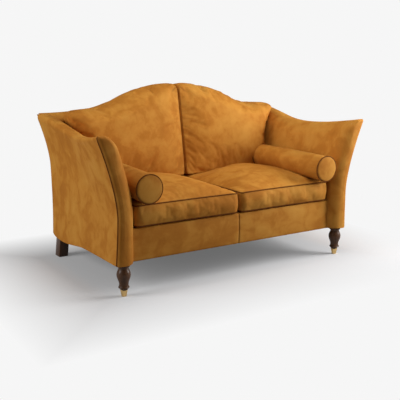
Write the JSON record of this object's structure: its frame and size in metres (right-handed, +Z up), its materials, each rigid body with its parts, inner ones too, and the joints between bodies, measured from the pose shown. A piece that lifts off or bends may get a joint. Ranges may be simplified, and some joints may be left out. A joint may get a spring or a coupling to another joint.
{
  "type": "camelback sofa",
  "caption": "Two-seat camelback sofa with a humped back, flared padded arms, loose cushions, bolsters, turned front legs in brass cups and raked rear legs.",
  "frame": {"origin": "on the floor, below the middle of the sofa's overall box", "axes": "+X to the right as seen from the front, +Y from the front to the back, +Z up"},
  "size_m": [1.6434, 0.9225, 0.9749],
  "materials": {
    "leather": "matte",
    "piped_leather": "matte",
    "deck_cloth": "matte",
    "beech": "matte",
    "walnut": "satin",
    "brass": "polished",
    "steel": "satin",
    "webbing": "matte",
    "black_cloth": "matte"
  },
  "bodies": {
    "frame": {"front_seat_rail": "beech", "rear_seat_rail": "beech", "side_seat_rail_right": "beech", "side_seat_rail_left": "beech", "seat_centre_brace": "beech", "front_corner_block_right": "beech", "front_corner_block_left": "beech", "rear_corner_block_right": "beech", "rear_corner_block_left": "beech", "front_arm_post_right": "beech", "front_arm_post_left": "beech", "back_post_right": "beech", "back_post_left": "beech", "arm_top_rail_right": "beech", "arm_top_rail_left": "beech", "arm_lower_rail_right": "beech", "arm_lower_rail_left": "beech", "crest_rail": "beech", "lower_back_rail": "beech", "back_centre_upright": "beech", "seat_spring_1": "steel", "seat_spring_2": "steel", "seat_spring_3": "steel", "seat_spring_4": "steel", "seat_spring_5": "steel", "seat_spring_6": "steel", "seat_spring_7": "steel", "seat_spring_8": "steel", "back_web_1_right": "webbing", "back_web_1_left": "webbing", "back_web_2_right": "webbing", "back_web_2_left": "webbing", "seat_deck": "deck_cloth", "front_border": "leather", "arm_cover_right": "leather", "arm_cover_left": "leather", "outside_arm_panel_right": "leather", "outside_arm_panel_left": "leather", "arm_piping_right": "piped_leather", "arm_piping_left": "piped_leather", "inside_back": "leather", "outside_back": "leather", "dust_cover": "black_cloth", "front_leg_right": "walnut", "front_leg_left": "walnut", "leg_cup_right": "brass", "leg_cup_left": "brass", "rear_leg_right": "walnut", "rear_leg_left": "walnut", "front_leg_bolt_right": "steel", "front_leg_bolt_left": "steel", "rear_leg_bolt_right": "steel", "rear_leg_bolt_left": "steel"},
    "seat_cushion_right_body": {"seat_cushion_right": "leather"},
    "seat_cushion_left_body": {"seat_cushion_left": "leather"},
    "back_cushion_right_body": {"back_cushion_right": "leather"},
    "back_cushion_left_body": {"back_cushion_left": "leather"},
    "bolster_right_body": {"bolster_right": "leather"},
    "bolster_left_body": {"bolster_left": "leather"}
  },
  "joints": [
    {"name": "seat_cushion_right_lift", "type": "slide", "parent": "frame", "child": "seat_cushion_right_body", "axis": [0, 0, 1], "range_m": [0, 0.65]},
    {"name": "back_cushion_right_lift", "type": "slide", "parent": "seat_cushion_right_body", "child": "back_cushion_right_body", "axis": [0, 0, 1], "range_m": [0, 0.52]},
    {"name": "bolster_right_lift", "type": "slide", "parent": "seat_cushion_right_body", "child": "bolster_right_body", "axis": [0, 0, 1], "range_m": [0, 0.36]},
    {"name": "seat_cushion_left_lift", "type": "slide", "parent": "frame", "child": "seat_cushion_left_body", "axis": [0, 0, 1], "range_m": [0, 0.65]},
    {"name": "back_cushion_left_lift", "type": "slide", "parent": "seat_cushion_left_body", "child": "back_cushion_left_body", "axis": [0, 0, 1], "range_m": [0, 0.52]},
    {"name": "bolster_left_lift", "type": "slide", "parent": "seat_cushion_left_body", "child": "bolster_left_body", "axis": [0, 0, 1], "range_m": [0, 0.36]}
  ]
}
